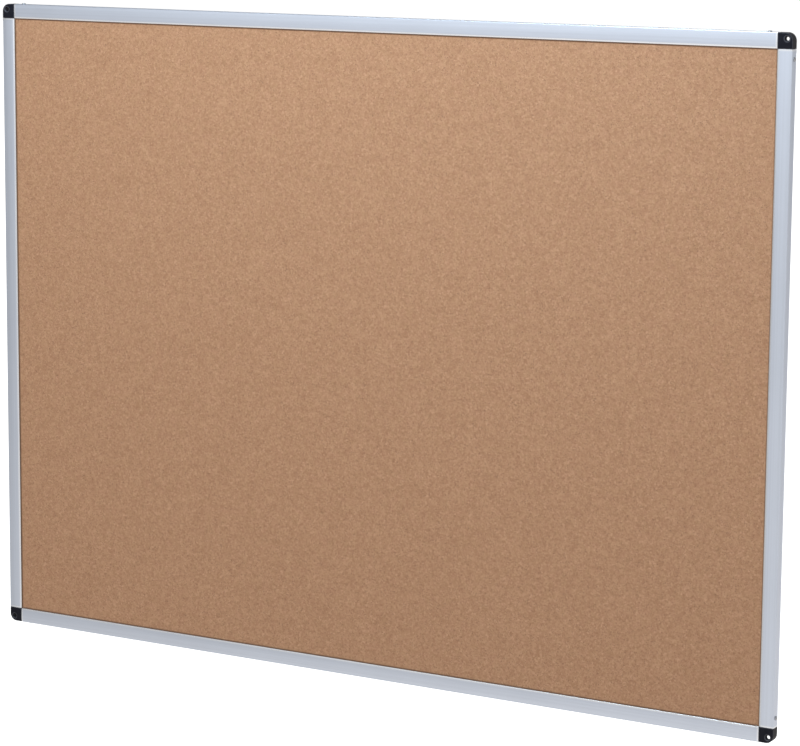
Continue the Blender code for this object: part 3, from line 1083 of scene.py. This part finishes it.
def close_behind(mesh, thickness):
    """Turn a front surface into a closed sheet."""
    shape = bmesh.new()
    shape.from_mesh(mesh)
    edges = [edge for edge in shape.edges if edge.is_boundary]
    for _ in range(2):
        made = bmesh.ops.extrude_edge_only(shape, edges=edges)["geom"]
        edges = [item for item in made if isinstance(item, bmesh.types.BMEdge) and item.is_boundary]
        for vert in {vert for edge in edges for vert in edge.verts}:
            vert.co.y += thickness * 0.5
    bmesh.ops.contextual_create(shape, geom=edges)
    bmesh.ops.recalc_face_normals(shape, faces=shape.faces)
    shape.to_mesh(mesh)
    shape.free()


class BOARD_OT_cork(bpy.types.Operator):
    """Make the granulated cork sheet"""

    bl_idname = "board.cork"
    bl_label = "Cork"

    def execute(self, context):
        sizes = context.scene.board_panel
        low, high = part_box("cork_sheet")
        material = granulated_cork(sizes)
        name = "cork_sheet_granulated"
        cork = linked(name, bpy.data.meshes.new(name))
        granule_rig(high.x - low.x, high.z - low.z, sizes, material, cork, -low.y)
        close_behind(cork.data, high.y - low.y)
        smooth(cork.data, 30.0)
        show(cork, material, "cork", "cork_sheet")
        return {"FINISHED"}


def make_layer(name, node, step, seed, wave, ragged):
    """Make a thin sheet whose faces sink a little at random and whose edges are ragged."""
    low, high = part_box(node)
    wide = round((high.x - low.x) / step)
    tall = round((high.z - low.z) / step)
    shape = bmesh.new()
    sheets = []
    for y, sign in ((low.y, 1.0), (high.y, -1.0)):
        rows = []
        for j in range(tall + 1):
            row = []
            for i in range(wide + 1):
                x = low.x + (high.x - low.x) * i / wide
                z = low.z + (high.z - low.z) * j / tall
                spot = Vector((x * 9.0, y * 900.0 + seed, z * 9.0))
                sink = (noise.noise(spot) * 0.5 + 0.5) * wave
                edge = noise.noise(Vector((x * 320.0, y * 50.0 + seed, z * 320.0)))
                pull = ragged * (0.5 + 0.5 * edge)
                if i in (0, wide):
                    x += pull if i == 0 else -pull
                if j in (0, tall):
                    z += pull if j == 0 else -pull
                row.append(shape.verts.new((x, y + sign * sink, z)))
            rows.append(row)
        sheets.append(rows)
        for j in range(tall):
            for i in range(wide):
                shape.faces.new((rows[j][i], rows[j][i + 1], rows[j + 1][i + 1], rows[j + 1][i]))
    front, back = sheets
    rim = [(i, 0) for i in range(wide)] + [(wide, j) for j in range(tall)]
    rim += [(wide - i, tall) for i in range(wide)] + [(0, tall - j) for j in range(tall)]
    for (i, j), (k, m) in zip(rim, rim[1:] + rim[:1]):
        shape.faces.new((front[j][i], front[m][k], back[m][k], back[j][i]))
    bmesh.ops.recalc_face_normals(shape, faces=shape.faces)
    layer = as_object(name, shape)
    smooth(layer.data, 40.0)
    return layer


class BOARD_OT_core(bpy.types.Operator):
    """Make the soft fibreboard core"""

    bl_idname = "board.core"
    bl_label = "Core"

    def execute(self, context):
        core = make_layer("core_fibreboard", "core_board", 0.012, 3.0, wave=0.00015, ragged=0.0004)
        show(core, soft_fibreboard(context.scene.board_panel), "core", "core_board")
        return {"FINISHED"}


class BOARD_OT_backing(bpy.types.Operator):
    """Make the paper backing sheet"""

    bl_idname = "board.backing"
    bl_label = "Backing"

    def execute(self, context):
        name = "backing_paper_sheet"
        sheet = make_layer(name, "backing_sheet", 0.010, 11.0, wave=0.00022, ragged=0.0002)
        show(sheet, backing_paper(context.scene.board_panel), "backing", "backing_sheet")
        return {"FINISHED"}


# -------- Stage --------


def add_camera(stage):
    """Place the camera."""
    data = bpy.data.cameras.new("camera")
    data.lens = stage.lens
    data.sensor_width = 36.0
    data.sensor_fit = "HORIZONTAL"
    data.shift_y = stage.rise
    data.clip_end = 200.0
    camera = linked("camera", data)
    pitch, roll, heading = stage.aim
    turn = Matrix.Rotation(heading, 4, "Z")
    turn = turn @ Matrix.Rotation(math.pi / 2 + pitch, 4, "X")
    turn = turn @ Matrix.Rotation(roll, 4, "Z")
    camera.matrix_world = Matrix.Translation(Vector(stage.eye) - Vector((0, DEPTH, 0))) @ turn
    bpy.context.scene.camera = camera


def add_light(name, place, target, size, power, tint):
    """Place a soft rectangular light that faces a target."""
    data = bpy.data.lights.new(name, "AREA")
    data.shape = "RECTANGLE"
    data.size, data.size_y = size
    data.energy = power
    data.color = tint
    light = linked(name, data)
    aim = (Vector(target) - Vector(place)).to_track_quat("-Z", "Y")
    light.matrix_world = Matrix.Translation(place) @ aim.to_matrix().to_4x4()


def add_sky(stage):
    """Make a soft surround, brightest below the horizon. The camera sees it white."""
    world = bpy.data.worlds.new("studio")
    world.use_nodes = True
    world.node_tree.nodes.clear()
    sky = Tree(world.node_tree)
    x, _, z = sky.split(sky.node("ShaderNodeTexCoord").outputs["Generated"])
    below = sky.ramp(z * -0.5 + 0.5, GLOW_DOWNWARDS)
    beside = sky.ramp(x * 0.5 + 0.5, GLOW_SIDEWAYS)
    glow = sky.mix(beside, BLACK, sky.mix(below, stage.upper, stage.lower))
    lit = sky.node("ShaderNodeBackground", {"Color": glow, "Strength": stage.ambient})
    seen = sky.node("ShaderNodeBackground", {"Color": WHITE, "Strength": BACKGROUND})
    ray = sky.node("ShaderNodeLightPath").outputs["Is Camera Ray"]
    mix = sky.node("ShaderNodeMixShader", {0: ray, 1: lit.outputs[0], 2: seen.outputs[0]})
    sky.node("ShaderNodeOutputWorld", {"Surface": mix.outputs[0]})
    bpy.context.scene.world = world


def pale_floor(stage):
    """Plain white surface for the floor."""
    skin = Finish("pale_floor", Roughness=0.9, Emission_Strength=1.0)
    mottle = skin.noise(3.0, 2.0, 0.5)
    skin.set(Emission_Color=skin.mix(mottle * 0.2, stage.floor, WHITE))
    return skin.material


class BOARD_OT_stage(bpy.types.Operator):
    """Make the floor, the lights and the camera"""

    bl_idname = "board.stage"
    bl_label = "Stage"

    def execute(self, context):
        stage = context.scene.board_stage
        top = -HALF_HEIGHT - stage.floor_gap
        low = (-FLOOR_REACH, -FLOOR_REACH, top - FLOOR_THICKNESS)
        floor = as_object("floor", box(low, (FLOOR_REACH, FLOOR_REACH, top)))
        floor.data.materials.append(pale_floor(stage))
        floor.visible_diffuse = False
        floor.visible_glossy = False
        floor.visible_shadow = False
        add_light("key", *KEY_PLACE, stage.key, stage.key_tint)
        add_light("side", *SIDE_PLACE, stage.side, stage.side_tint)
        add_sky(stage)
        add_camera(stage)
        context.scene.view_settings.view_transform = "Standard"
        return {"FINISHED"}


# -------- Add-on --------

OPERATORS = (
    BOARD_OT_stage, BOARD_OT_rails, BOARD_OT_caps, BOARD_OT_screws,
    BOARD_OT_cork, BOARD_OT_core, BOARD_OT_backing,
)


class BOARD_PT_board(bpy.types.Panel):
    """Lists the pieces of the board"""

    bl_idname = "BOARD_PT_board"
    bl_label = "Cork board"
    bl_space_type = "VIEW_3D"
    bl_region_type = "UI"
    bl_category = "Board"

    def draw(self, context):
        for operator in OPERATORS:
            self.layout.operator(operator.bl_idname)


SETTINGS = {
    "board_rails": RailSizes,
    "board_caps": CapSizes,
    "board_screws": ScrewSizes,
    "board_panel": PanelSizes,
    "board_stage": StageSettings,
}


def register():
    """Register the settings, the operators and the panel."""
    for name, group in SETTINGS.items():
        bpy.utils.register_class(group)
        setattr(bpy.types.Scene, name, PointerProperty(type=group))
    for kind in (*OPERATORS, BOARD_PT_board):
        bpy.utils.register_class(kind)


def unregister():
    """Remove what register added."""
    for kind in reversed((*OPERATORS, BOARD_PT_board)):
        bpy.utils.unregister_class(kind)
    for name, group in SETTINGS.items():
        delattr(bpy.types.Scene, name)
        bpy.utils.unregister_class(group)


def main():
    """Build every piece."""
    register()
    bpy.ops.board.stage()
    bpy.ops.board.rails()
    bpy.ops.board.caps()
    bpy.ops.board.screws()
    bpy.ops.board.cork()
    bpy.ops.board.core()
    bpy.ops.board.backing()


if __name__ == "__main__":
    main()
